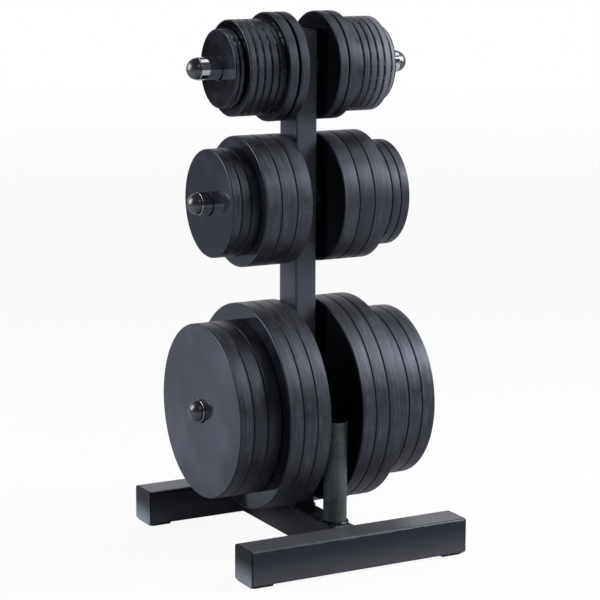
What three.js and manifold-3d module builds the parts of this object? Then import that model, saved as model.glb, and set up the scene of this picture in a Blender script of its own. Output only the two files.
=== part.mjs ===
// A loaded plate tree: a steel storage rack for weight plates, with an H-shaped base, one upright,
// three tiers of chromed pegs, an upright tube that holds a bar, and the forty-two plates it carries.
//
// Millimetres. The origin lies on the floor under the middle of the upright. +X runs along the pegs
// to the right, +Y runs to the rear and +Z is up. The bar holder stands at the front, on the -Y side.

import * as THREE from 'three';
import { mergeVertices } from 'three/addons/utils/BufferGeometryUtils.js';
import Module from 'manifold-3d';

const wasm = await Module();
wasm.setup();

// Driving sizes of the rack
const baseLength = 522;
const baseDepth = 574;
const baseTubeSide = 76.2;
const baseTubeWall = 2.6;
const baseTubeCorner = 6;
const spineWidth = 50.8;
const spineHeight = 76.2;
const spineWall = 2.6;
const spineCorner = 5;
const uprightWidth = 50.8;
const uprightDepth = 76.2;
const uprightWall = 2.6;
const uprightCorner = 5;
const uprightPastTopPeg = 78;

// Clear heights that set the pegs: under the largest plates, and between the plates of two tiers
const floorSpace = 90;
const lowerTierSpace = 83;
const upperTierSpace = 27.5;

// Peg tubes and their domed end caps
const pegReach = 240;
const pegDiameter = 48.3;
const pegWall = 3.2;
const domeInset = 0.95;
const domeHeight = 23;
const domePlugDepth = 16;

// Bar holder
const holderDiameter = 50.8;
const holderWall = 2.6;
const holderHeight = 222;
const holderSetback = 14;

// Plastic end caps of the base tubes, each with a foot pad moulded on, and the upright's top cap
const capThickness = 3.2;
const capEdge = 1.1;
const capPlugDepth = 18;
const capPlugWall = 2.5;
const footThickness = 5;
const footWidth = 60;
const footLength = 52;
const footToe = 9;
const footHeel = 3;
const topCapThickness = 3;
const topCapEdge = 1;

// Plates: outside diameter and thickness of each weight, and what they all share
const plate45Diameter = 450;
const plate45Thickness = 32.5;
const plate35Diameter = 378;
const plate35Thickness = 32.5;
const plate25Diameter = 280;
const plate25Thickness = 36.4;
const plate10Diameter = 231;
const plate10Thickness = 21.4;
const plate5Diameter = 203.4;
const plate5Thickness = 16.6;
const plate2Diameter = 166;
const plate2Thickness = 10.7;
const plateBore = 51.5;
const plateEdge = 1.8;

// Clear space beside the upright where each stack starts, and the wider gaps left between some plates
const topLeftStandOff = 9.4;
const topRightStandOff = 11.2;
const middleLeftStandOff = 14.5;
const middleRightStandOff = 11.7;
const bottomLeftStandOff = 13.8;
const bottomRightStandOff = 11.6;
const topLeftTenGap = 4.6;
const topLeftSmallGap = 3.7;
const topRightTenGap = 2;
const topRightFiveGap = 5;
const bottomRightGap = 5.6;

// Clearance between pieces that touch, and how far a cutting shape runs past what it cuts
const seat = 0.3;
const overrun = 4;

// Facets of the round forms
const pegFacets = 20;
const domeSteps = 4;
const holderFacets = 24;
const boreFacets = 12;
const cornerSteps = 1;

// Places worked out from the sizes above
const bottomPegHeight = floorSpace + plate45Diameter / 2;
const middlePegHeight = bottomPegHeight + (plate45Diameter + plate25Diameter) / 2 + lowerTierSpace;
const topPegHeight = middlePegHeight + (plate25Diameter + plate10Diameter) / 2 + upperTierSpace;
const uprightTop = topPegHeight + uprightPastTopPeg;
const spineTop = footThickness + spineHeight;
const baseTubeOffset = (baseDepth - baseTubeSide) / 2;
const baseTubeHalf = baseLength / 2 - capThickness - seat;
const spineHalf = baseTubeOffset - baseTubeSide / 2 - seat;
const pegRadius = pegDiameter / 2;
const boreRadius = plateBore / 2;
const plateDrop = boreRadius - pegRadius - seat;
const holderBack = baseTubeOffset - baseTubeSide / 2 - holderSetback - holderDiameter / 2;

// Finishes
const powderCoat = { color: 0x1b1d20, roughness: 0.42, metalness: 0.35 };
const holderCoat = { color: 0x23272a, roughness: 0.38, metalness: 0.4 };
const chromePlate = { color: 0xc9ccd0, roughness: 0.08, metalness: 1 };
const glossPlastic = { color: 0x0b0b0c, roughness: 0.16, metalness: 0 };
const capPlastic = { color: 0x17181a, roughness: 0.35, metalness: 0 };
const plateRubber = { color: 0x191b1e, roughness: 0.5, metalness: 0 };

// One closed solid from a three.js geometry: vertices shared, slivers at the poles of a lathe dropped
function toSolid(geometry) {
  geometry.deleteAttribute('normal');
  geometry.deleteAttribute('uv');
  const merged = mergeVertices(geometry);
  const corners = merged.index.array;
  const kept = [];
  for (let i = 0; i < corners.length; i += 3) {
    const [a, b, c] = [corners[i], corners[i + 1], corners[i + 2]];
    if (a !== b && b !== c && c !== a) {
      kept.push(a, b, c);
    }
  }
  const vertProperties = new Float32Array(merged.attributes.position.array);
  const triVerts = new Uint32Array(kept);
  return new wasm.Manifold(new wasm.Mesh({ numProp: 3, vertProperties, triVerts }));
}

// A named mesh of its own material from a closed solid
function toMesh(name, solid, finish) {
  const { vertProperties, triVerts } = solid.getMesh();
  const geometry = new THREE.BufferGeometry();
  geometry.setAttribute('position', new THREE.BufferAttribute(new Float32Array(vertProperties), 3));
  geometry.setIndex(new THREE.BufferAttribute(new Uint32Array(triVerts), 1));
  const mesh = new THREE.Mesh(geometry, new THREE.MeshStandardMaterial({ ...finish, flatShading: true }));
  mesh.name = name;
  return mesh;
}

// Outline of a rectangle with round corners, centred on the origin
function roundedRectangle(width, height, corner) {
  const x = width / 2 - corner;
  const y = height / 2 - corner;
  const quarter = Math.PI / 2;
  const outline = new THREE.Shape();
  outline.absarc(x, y, corner, 0, quarter);
  outline.absarc(-x, y, corner, quarter, 2 * quarter);
  outline.absarc(-x, -y, corner, 2 * quarter, 3 * quarter);
  outline.absarc(x, -y, corner, 3 * quarter, 4 * quarter);
  outline.closePath();
  return outline;
}

// A straight tube of rectangular section, with round corners inside and out, from z = 0 to its length
function rectangularTube(width, height, corner, wall, length) {
  const section = roundedRectangle(width, height, corner);
  section.holes.push(roundedRectangle(width - 2 * wall, height - 2 * wall, corner - wall));
  return toSolid(new THREE.ExtrudeGeometry(section, {
    depth: length, steps: 1, curveSegments: cornerSteps, bevelEnabled: false,
  }));
}

// A flat slab of round-cornered outline with its edges broken, from z = 0 to its thickness
function edgedSlab(width, height, corner, edge, thickness) {
  const geometry = new THREE.ExtrudeGeometry(roundedRectangle(width, height, corner), {
    depth: thickness - 2 * edge, steps: 1, curveSegments: cornerSteps,
    bevelThickness: edge, bevelSize: edge, bevelOffset: -edge, bevelSegments: 1,
  });
  return toSolid(geometry.translate(0, 0, edge));
}

// A solid of revolution about the X axis; the profile is a list of [x, radius], outside wall towards +X
function turned(profile, facets) {
  const points = profile.map(([x, radius]) => new THREE.Vector2(radius, x));
  return toSolid(new THREE.LatheGeometry(points, facets).rotateZ(-Math.PI / 2));
}

// A round pipe along X, from x = 0 to its length
function pipe(diameter, wall, length, facets) {
  const outer = diameter / 2;
  const inner = outer - wall;
  return turned([[0, inner], [0, outer], [length, outer], [length, inner], [0, inner]], facets);
}

// A cutter for a round hole along X whose flats, not its corners, lie at the hole's radius
function boreCutter(radius, from, to, facets) {
  const reach = radius / Math.cos(Math.PI / facets);
  return turned([[from, 0], [from, reach], [to, reach], [to, 0]], facets);
}

// Upright: a rectangular tube with a round hole through both sides for each peg, closed by its top cap
function upright() {
  const foot = spineTop + seat;
  const tubeTop = uprightTop - topCapThickness / 2;
  let body = rectangularTube(uprightWidth, uprightDepth, uprightCorner, uprightWall, tubeTop - foot);
  for (const height of [topPegHeight, middlePegHeight, bottomPegHeight]) {
    const past = uprightWidth / 2 + overrun;
    const hole = boreCutter(pegRadius + seat, -past, past, pegFacets);
    body = body.subtract(hole.translate([0, 0, height - foot]));
  }
  const cap = edgedSlab(uprightWidth, uprightDepth, uprightCorner, topCapEdge, topCapThickness);
  body = body.add(cap.translate([0, 0, uprightTop - topCapThickness - foot]));
  const mesh = toMesh('upright', body, powderCoat);
  mesh.position.z = foot;
  return mesh;
}

// Base: a tube across the front, one across the rear, and the spine that joins them under the upright
function base() {
  const group = new THREE.Group();
  for (const [name, y] of [['front_base_tube', -baseTubeOffset], ['rear_base_tube', baseTubeOffset]]) {
    const tube = rectangularTube(baseTubeSide, baseTubeSide, baseTubeCorner, baseTubeWall, 2 * baseTubeHalf);
    const mesh = toMesh(name, tube, powderCoat);
    mesh.rotation.y = Math.PI / 2;
    mesh.position.set(-baseTubeHalf, y, footThickness + baseTubeSide / 2);
    group.add(mesh);
  }
  const spine = rectangularTube(spineWidth, spineHeight, spineCorner, spineWall, 2 * spineHalf);
  const mesh = toMesh('base_spine', spine, powderCoat);
  mesh.rotation.x = -Math.PI / 2;
  mesh.position.set(0, -spineHalf, footThickness + spineHeight / 2);
  group.add(mesh);
  return group;
}

// Bar holder: an open round tube that stands on the spine just behind the front base tube
function barHolder() {
  const mesh = toMesh('bar_holder', pipe(holderDiameter, holderWall, holderHeight, holderFacets), holderCoat);
  mesh.rotation.y = -Math.PI / 2;
  mesh.position.set(0, -holderBack, spineTop + seat);
  return mesh;
}

// Side view of a foot pad: toe rising to the cap's flange, flat sole, round heel, clear of the tube above
function footOutline() {
  const flange = seat + capThickness - capEdge;
  const top = footThickness - seat;
  const root = footThickness + capThickness;
  const outline = new THREE.Shape();
  outline.moveTo(flange, root);
  outline.lineTo(seat + capEdge, root);
  outline.lineTo(seat + capEdge, top);
  outline.lineTo(-footLength, top);
  outline.absarc(-footLength + footHeel, footHeel, footHeel, Math.PI, 1.5 * Math.PI);
  outline.lineTo(-footToe, 0);
  outline.quadraticCurveTo(flange, 0, flange, footThickness);
  outline.closePath();
  return outline;
}

// End cap of a base tube, facing +X: a hollow plug inside the tube, a flange over its end and the pad
function endCapSolid() {
  const middle = footThickness + baseTubeSide / 2;
  const inner = baseTubeSide - 2 * baseTubeWall - 2 * seat;
  const innerCorner = baseTubeCorner - baseTubeWall - seat;
  const plug = rectangularTube(inner, inner, innerCorner, capPlugWall, capPlugDepth + seat + capThickness / 2);
  const flange = edgedSlab(baseTubeSide, baseTubeSide, baseTubeCorner, capEdge, capThickness);
  const pad = toSolid(new THREE.ExtrudeGeometry(footOutline(), {
    depth: footWidth, steps: 1, curveSegments: cornerSteps + 1, bevelEnabled: false,
  }).rotateX(Math.PI / 2));
  const turn = [0, 90, 0];
  return plug.rotate(turn).translate([-capPlugDepth, 0, middle])
    .add(flange.rotate(turn).translate([seat, 0, middle]))
    .add(pad.translate([0, footWidth / 2, 0]));
}

// The four end caps, the left pair turned half round
function endCaps() {
  const group = new THREE.Group();
  for (const [end, y] of [['front', -baseTubeOffset], ['rear', baseTubeOffset]]) {
    for (const [side, way] of [['left', -1], ['right', 1]]) {
      const mesh = toMesh(`${end}_${side}_foot_cap`, endCapSolid(), capPlastic);
      mesh.position.set(way * baseTubeHalf, y, 0);
      mesh.rotation.z = way < 0 ? Math.PI : 0;
      group.add(mesh);
    }
  }
  return group;
}

// Domed cap of a peg, facing +X from the end of the tube: a plug inside it, a shoulder and the dome
function pegDome() {
  const plugRadius = pegRadius - pegWall - seat;
  const domeRadius = pegRadius - domeInset;
  const profile = [[-domePlugDepth, 0], [-domePlugDepth, plugRadius], [seat, plugRadius]];
  for (let i = 0; i <= domeSteps; i += 1) {
    const angle = (i / domeSteps) * (Math.PI / 2);
    const radius = i === domeSteps ? 0 : domeRadius * Math.cos(angle);
    profile.push([seat + domeHeight * Math.sin(angle), radius]);
  }
  return turned(profile, pegFacets);
}

// Flat plate with its rims broken, from x = 0 to its thickness, with its bore cut through
function plateSolid({ diameter, thickness, facets }) {
  const radius = diameter / 2;
  const disc = turned([
    [0, 0], [0, radius - plateEdge], [plateEdge, radius],
    [thickness - plateEdge, radius], [thickness, radius - plateEdge], [thickness, 0],
  ], facets);
  return disc.subtract(boreCutter(boreRadius, -overrun, thickness + overrun, boreFacets));
}

const plateKinds = {
  '45lb': { diameter: plate45Diameter, thickness: plate45Thickness, facets: 36 },
  '35lb': { diameter: plate35Diameter, thickness: plate35Thickness, facets: 32 },
  '25lb': { diameter: plate25Diameter, thickness: plate25Thickness, facets: 28 },
  '10lb': { diameter: plate10Diameter, thickness: plate10Thickness, facets: 24 },
  '5lb': { diameter: plate5Diameter, thickness: plate5Thickness, facets: 22 },
  '2_5lb': { diameter: plate2Diameter, thickness: plate2Thickness, facets: 20 },
};

// A run of plates that stand face to face
function run(kind, count) {
  return Array.from({ length: count }, (_, i) => ({ kind, gap: i > 0 ? seat : 0 }));
}

// What each side of each tier carries, from the upright outwards; gap is the space before a plate
const tiers = [
  { tier: 'top', height: topPegHeight, sides: {
    left: [[topLeftStandOff, run('10lb', 1)], [topLeftTenGap, run('10lb', 1)], [seat, run('5lb', 5)],
      [topLeftSmallGap, run('2_5lb', 2)]],
    right: [[topRightStandOff, run('10lb', 1)], [topRightTenGap, run('10lb', 1)],
      [topRightFiveGap, run('5lb', 5)], [seat, run('2_5lb', 2)]],
  } },
  { tier: 'middle', height: middlePegHeight, sides: {
    left: [[middleLeftStandOff, run('25lb', 3)], [seat, run('10lb', 3)]],
    right: [[middleRightStandOff, run('25lb', 3)], [seat, run('10lb', 3)]],
  } },
  { tier: 'bottom', height: bottomPegHeight, sides: {
    left: [[bottomLeftStandOff, run('45lb', 3)], [seat, run('35lb', 3)]],
    right: [[bottomRightStandOff, run('45lb', 3)], [bottomRightGap, run('35lb', 3)]],
  } },
];

// Plates of one side of a tier, hanging on the peg by their bores
function stack(tier, side, runs) {
  const group = new THREE.Group();
  const counts = {};
  let x = uprightWidth / 2;
  for (const [space, plates] of runs) {
    x += space;
    for (const { kind, gap } of plates) {
      counts[kind] = (counts[kind] ?? 0) + 1;
      const name = `${tier}_${side}_${kind}_plate_${counts[kind]}`;
      const mesh = toMesh(name, plateSolid(plateKinds[kind]), plateRubber);
      mesh.position.set(x + gap, 0, -plateDrop);
      group.add(mesh);
      x += gap + plateKinds[kind].thickness;
    }
  }
  return group;
}

// One tier: the peg tube through the upright and, on each side, its stack of plates and its dome
function pegTier({ tier, height, sides }) {
  const group = new THREE.Group();
  const tube = toMesh(`${tier}_peg_tube`, pipe(pegDiameter, pegWall, 2 * pegReach, pegFacets), chromePlate);
  tube.position.x = -pegReach;
  group.add(tube);
  for (const side of ['left', 'right']) {
    const half = new THREE.Group();
    const dome = toMesh(`${tier}_${side}_peg_dome`, pegDome(), glossPlastic);
    dome.position.x = pegReach;
    half.add(dome, stack(tier, side, sides[side]));
    half.rotation.z = side === 'left' ? Math.PI : 0;
    group.add(half);
  }
  group.position.z = height;
  return group;
}

const plateTree = new THREE.Group();
plateTree.add(base(), endCaps(), upright(), barHolder());
for (const tier of tiers) {
  plateTree.add(pegTier(tier));
}

export default plateTree;
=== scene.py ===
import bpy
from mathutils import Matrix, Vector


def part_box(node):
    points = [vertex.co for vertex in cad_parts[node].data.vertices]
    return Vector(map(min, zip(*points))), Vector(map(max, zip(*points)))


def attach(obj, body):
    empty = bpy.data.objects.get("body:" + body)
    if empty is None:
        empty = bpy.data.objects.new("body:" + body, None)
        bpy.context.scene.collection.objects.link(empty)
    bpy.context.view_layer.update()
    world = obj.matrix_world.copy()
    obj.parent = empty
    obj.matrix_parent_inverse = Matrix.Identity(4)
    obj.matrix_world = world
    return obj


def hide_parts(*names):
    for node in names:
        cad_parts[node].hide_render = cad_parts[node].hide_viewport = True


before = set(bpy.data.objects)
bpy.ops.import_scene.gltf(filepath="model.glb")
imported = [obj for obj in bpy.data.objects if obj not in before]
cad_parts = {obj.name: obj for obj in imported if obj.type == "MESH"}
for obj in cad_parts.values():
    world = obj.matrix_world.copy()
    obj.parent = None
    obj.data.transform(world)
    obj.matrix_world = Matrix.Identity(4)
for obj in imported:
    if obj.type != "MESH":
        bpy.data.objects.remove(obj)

"""Looks of a loaded plate tree: steel rack, chromed pegs with domed caps and forty-two weight plates.

Metres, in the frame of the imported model: +X runs along the pegs to the right, +Y to the rear and +Z up.
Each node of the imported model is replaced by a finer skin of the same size, worked out with numpy.
"""

import logging
import math
from dataclasses import dataclass
from enum import Enum

import bpy
import numpy as np
from mathutils import Matrix, Vector

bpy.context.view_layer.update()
TAU = 2 * math.pi
MM = 0.001
SEAT = 0.3 * MM  # gap between seated pieces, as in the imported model
CAP_ROWS = 6  # rows of a skin's cap, from its rim to its middle
SEED_STEP = 1.618  # sets the noise of each piece apart from the last one's
RACK = "rack"
WHITE = (1, 1, 1, 1)

log = logging.getLogger("plate_tree")


class Along(Enum):
    """Axis that a piece runs along; the value lists the axis and the two directions across it."""

    X = (0, 1, 2)
    Y = (1, 0, 2)
    Z = (2, 0, 1)

    def frame(self) -> np.ndarray:
        """Unit vectors of the axis and of the two directions across it, as rows."""
        return np.eye(3)[list(self.value)]


class Side(Enum):
    """Side of the upright; the value is its way along X."""

    LEFT = -1
    RIGHT = 1

    def word(self) -> str:
        """Its word in the names of nodes and pieces."""
        return self.name.lower()


class Tier(Enum):
    """Height of a pair of pegs; the value is its word in the names of nodes and pieces."""

    TOP = "top"
    MIDDLE = "middle"
    BOTTOM = "bottom"


@dataclass
class Shell:
    """One or more closed skins: vertices, arrays of quads or triangles, and two values at each vertex."""

    vertices: np.ndarray
    faces: list
    edge: np.ndarray
    radius: np.ndarray

    def __add__(self, other: "Shell") -> "Shell":
        """Both skins as one.

        Args:
            other: The skin to put behind this one.

        Returns:
            A new skin.
        """
        shift = len(self.vertices)
        return Shell(
            np.vstack([self.vertices, other.vertices]),
            self.faces + [part + shift for part in other.faces],
            np.concatenate([self.edge, other.edge]),
            np.concatenate([self.radius, other.radius]),
        )

    def outward(self) -> "Shell":
        """Turns the faces outwards by the sign of the volume, the sum of a . (b x c) / 6 over triangles.

        Returns:
            The same skin.
        """
        volume = 0.0
        for part in self.faces:
            corners = self.vertices[part]
            for k in range(1, part.shape[1] - 1):
                volume += np.einsum("ij,ij->", corners[:, 0], np.cross(corners[:, k], corners[:, k + 1]))
        if volume < 0:
            self.faces = [part[:, ::-1] for part in self.faces]
        return self


def rounded(corners: np.ndarray, radii: np.ndarray, steps: int, closed: bool, rest: float) -> tuple:
    """A run of straight lines with an arc at each corner.

    With unit directions a into a corner and b out of it, turn w between them and n square to a on the side of
    the turn, the arc starts t = r tan(w / 2) before the corner C:
    P(q) = C - a t + r (a sin q + n (1 - cos q)), q from 0 to w.
    A point at rest beyond each end of an arc keeps the shading of the straight parts flat.

    Args:
        corners: Corners, one a row.
        radii: Radius of the arc at each corner.
        steps: Steps of each arc.
        closed: True if the last corner is joined to the first; otherwise both ends stay as they are.
        rest: Distance from an arc's end to the point beyond it.

    Returns:
        Points, unit tangents, and 1 on the arcs and 0 on the straight parts.
    """
    corners = np.asarray(corners, float)
    radii = np.asarray(radii, float)[:, None]
    before = np.roll(corners, 1, axis=0)
    after = np.roll(corners, -1, axis=0)
    into = (corners - before) / np.linalg.norm(corners - before, axis=1, keepdims=True)
    out = (after - corners) / np.linalg.norm(after - corners, axis=1, keepdims=True)
    cross = into[:, :1] * out[:, 1:] - into[:, 1:] * out[:, :1]
    turn = np.arctan2(np.abs(cross), np.sum(into * out, axis=1, keepdims=True))
    side = np.sign(cross) * np.column_stack([-into[:, 1], into[:, 0]])
    reach = radii * np.tan(turn / 2)
    q = turn * np.linspace(0, 1, steps + 1)[None, :]
    arc = (corners - into * reach)[:, None, :] + radii[:, :, None] * (
        into[:, None, :] * np.sin(q)[:, :, None] + side[:, None, :] * (1 - np.cos(q))[:, :, None])
    heading = into[:, None, :] * np.cos(q)[:, :, None] + side[:, None, :] * np.sin(q)[:, :, None]
    first = (corners - into * (reach + rest))[:, None, :]
    last = (corners + out * (reach + rest))[:, None, :]
    points = np.concatenate([first, arc, last], axis=1)
    tangents = np.concatenate([into[:, None, :], heading, out[:, None, :]], axis=1)
    weight = np.ones(points.shape[:2])
    weight[:, [0, -1]] = 0
    if closed:
        return points.reshape(-1, 2), tangents.reshape(-1, 2), weight.ravel()
    inner = slice(1, -1)
    ends = [corners[:1], points[inner].reshape(-1, 2), corners[-1:]]
    ways = [out[:1], tangents[inner].reshape(-1, 2), into[-1:]]
    return np.vstack(ends), np.vstack(ways), np.concatenate([[0], weight[inner].ravel(), [0]])


@dataclass(frozen=True)
class Outline:
    """A closed curve P(j) across a piece's axis, with unit normals N(j) that point away from its inside."""

    points: np.ndarray
    normals: np.ndarray
    edge: np.ndarray

    @staticmethod
    def circle(radius: float, segments: int) -> "Outline":
        """Circle about the axis, P(j) = radius (cos j, sin j).

        Args:
            radius: Its radius.
            segments: Number of its points.

        Returns:
            The outline.
        """
        angle = np.arange(segments) * TAU / segments
        ring = np.column_stack([np.cos(angle), np.sin(angle)])
        return Outline(radius * ring, ring, np.zeros(segments))

    @staticmethod
    def polygon(corners: np.ndarray, radii: np.ndarray) -> "Outline":
        """Polygon with round corners, its corners listed anticlockwise."""
        points, tangents, edge = rounded(corners, radii, steps=7, closed=True, rest=0.6 * MM)
        return Outline(points, np.column_stack([tangents[:, 1], -tangents[:, 0]]), edge)

    @staticmethod
    def rectangle(width: float, height: float, corner: float) -> "Outline":
        """Rectangle with round corners about the axis."""
        corners = np.array([width, height]) / 2 * np.array([[1, -1], [1, 1], [-1, 1], [-1, -1]])
        return Outline.polygon(corners, np.full(4, corner))

    def loops(self, inset: np.ndarray) -> np.ndarray:
        """Curves inside this one at each distance d: L(d, j) = P(j) - d N(j)."""
        return self.points[None] - inset[:, None, None] * self.normals[None]

    def evened(self, spacing: float) -> "Outline":
        """The same curve with its points at even steps along it.

        Args:
            spacing: About the length of a step.

        Returns:
            The outline.
        """
        closed = np.vstack([self.points, self.points[:1]])
        length = np.concatenate([[0], np.cumsum(np.linalg.norm(np.diff(closed, axis=0), axis=1))])
        at = np.linspace(0, length[-1], int(length[-1] / spacing), endpoint=False)
        normals = np.vstack([self.normals, self.normals[:1]])
        points = np.column_stack([np.interp(at, length, closed[:, k]) for k in range(2)])
        normals = np.column_stack([np.interp(at, length, normals[:, k]) for k in range(2)])
        normals /= np.linalg.norm(normals, axis=1, keepdims=True)
        return Outline(points, normals, np.zeros(len(points)))


def lattice(rows: np.ndarray, edge: np.ndarray, radius: np.ndarray, tips: np.ndarray | None = None) -> Shell:
    """Closed skin over a grid of points whose columns run round a loop.

    Row i joins row i + 1 by the quads P(i, j), P(i, j + 1), P(i + 1, j + 1), P(i + 1, j). A fan of triangles
    joins each end row to its tip; without tips the last row joins the first.

    Args:
        rows: Points, shaped (rows, columns, 3).
        edge: Closeness to a rounded edge, shaped (rows, columns).
        radius: Distance from the piece's axis, shaped (rows, columns).
        tips: The two points that close the end rows.

    Returns:
        The skin, its faces pointing outwards.
    """
    count, columns = rows.shape[:2]
    grid = np.arange(count * columns).reshape(count, columns)
    beside = np.roll(grid, -1, axis=1)
    last = count if tips is None else count - 1
    below = np.roll(grid, -1, axis=0)[:last]
    beyond = np.roll(beside, -1, axis=0)[:last]
    quads = np.stack([grid[:last], beside[:last], beyond, below], axis=-1).reshape(-1, 4)
    vertices, faces = rows.reshape(-1, 3), [quads]
    edge, radius = edge.ravel(), radius.ravel()
    if tips is not None:
        start, end = np.full(columns, len(vertices)), np.full(columns, len(vertices) + 1)
        faces.append(np.column_stack([start, beside[0], grid[0]]))
        faces.append(np.column_stack([end, grid[-1], beside[-1]]))
        vertices = np.vstack([vertices, tips])
        edge, radius = np.append(edge, [0, 0]), np.append(radius, [0, 0])
    return Shell(vertices, faces, edge, radius).outward()


@dataclass(frozen=True)
class Profile:
    """Rows (s, d), s a place along the axis and d a distance inside the outline, and closeness to an edge."""

    points: np.ndarray
    weight: np.ndarray

    @staticmethod
    def bent(corners: list | np.ndarray, radii: float | np.ndarray, steps: int, closed: bool,
             rest: float) -> "Profile":
        """Straight lines with an arc at each corner, as in rounded; one radius may do for all."""
        points, _, weight = rounded(corners, np.broadcast_to(radii, len(corners)), steps, closed, rest)
        return Profile(points, weight)

    @staticmethod
    def tube(length: float, wall: float, edge: float, steps: int = 4) -> "Profile":
        """An open tube with broken edges: out along the wall, over the end and back inside it."""
        corners = [[0, 0], [length, 0], [length, wall], [0, wall]]
        return Profile.bent(corners, edge, steps, closed=True, rest=0.5 * MM)

    @staticmethod
    def slab(start: float, end: float, edge: float, depth: float) -> "Profile":
        """A solid slab with two round edges, from a depth inside one face to that depth inside the other."""
        corners = [[start, depth], [start, 0], [end, 0], [end, depth]]
        return Profile.bent(corners, edge, steps=4, closed=False, rest=0.3 * MM)

    def turned(self, way: int, shift: float = 0.0) -> "Profile":
        """The same rows moved by a shift and then turned to run towards way, which is 1 or -1."""
        return Profile((self.points + [shift, 0]) * [way, 1], self.weight)


def skin(profile: Profile, outline: Outline, along: Along, origin: np.ndarray,
         solid: bool = False, crown: float = 0.0) -> Shell:
    """Skin of a profile (s, d) carried round an outline: P(i, j) = O + A s(i) + [U V] L(d(i), j).

    A cap adds rows that shrink by f towards the axis, and those of the last cap rise by crown (1 - f f).

    Args:
        profile: The rows to carry round.
        outline: The curve across the axis.
        along: The axis.
        origin: Where the axis starts.
        solid: True for a piece with a cap at each end, False for a tube.
        crown: How far the middle of the last cap stands out along the axis.

    Returns:
        The skin.
    """
    axis, across, upward = along.frame()
    loops = outline.loops(profile.points[:, 1])
    places = profile.points[:, 0][:, None, None] * axis
    rows = origin + places + loops[:, :, :1] * across + loops[:, :, 1:] * upward
    radius = np.linalg.norm(loops, axis=2)
    edge = np.maximum(profile.weight[:, None], outline.edge[None])
    if not solid:
        return lattice(rows, edge, radius)
    shrink = 1 - np.arange(1, CAP_ROWS) / CAP_ROWS
    stacks, tips = [], []
    for row, rise in ((rows[0], 0.0), (rows[-1], crown)):
        centre = row.mean(axis=0)
        scaled = centre + (row - centre)[None] * shrink[:, None, None]
        stacks.append(scaled + rise * (1 - shrink ** 2)[:, None, None] * axis)
        tips.append(centre + rise * axis)
    rows = np.concatenate([stacks[0][::-1], rows, stacks[1]])
    flat = np.zeros((CAP_ROWS - 1, radius.shape[1]))
    edge = np.concatenate([flat, edge, flat])
    outer = [radius[0][None] * shrink[::-1][:, None], radius, radius[-1][None] * shrink[:, None]]
    return lattice(rows, edge, np.concatenate(outer), np.array(tips))


class Value:
    """A socket in a material's graph; arithmetic on it adds the Math nodes that work it out."""

    def __init__(self, graph: "Graph", socket: bpy.types.NodeSocket) -> None:
        """Wraps a socket of a graph."""
        self.graph = graph
        self.socket = socket

    def __add__(self, other: "Value | float") -> "Value":
        """This value and another one or a number added up."""
        return self.graph.math("ADD", self, other)

    def __mul__(self, other: "Value | float") -> "Value":
        """This value times another one or a number."""
        return self.graph.math("MULTIPLY", self, other)

    def __sub__(self, other: "Value | float") -> "Value":
        """This value less another one or a number."""
        return self.graph.math("SUBTRACT", self, other)

    def __rsub__(self, other: float) -> "Value":
        """A number less this value."""
        return self.graph.math("SUBTRACT", other, self)

    __radd__, __rmul__ = __add__, __mul__

    def larger(self, other: "Value | float") -> "Value":
        """The larger of this value and another one."""
        return self.graph.math("MAXIMUM", self, other)

    def between(self, low: float, high: float) -> "Value":
        """0 up to low, 1 from high on, and a smooth step between them."""
        sockets = {"Value": self, "From Min": low, "From Max": high}
        return self.graph.add("MapRange", {"interpolation_type": "SMOOTHSTEP"}, sockets)

    def swing(self, amount: float) -> "Value":
        """Noise made to swing about 0 instead of 0.5, and scaled by an amount."""
        return (self - 0.5) * amount


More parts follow.
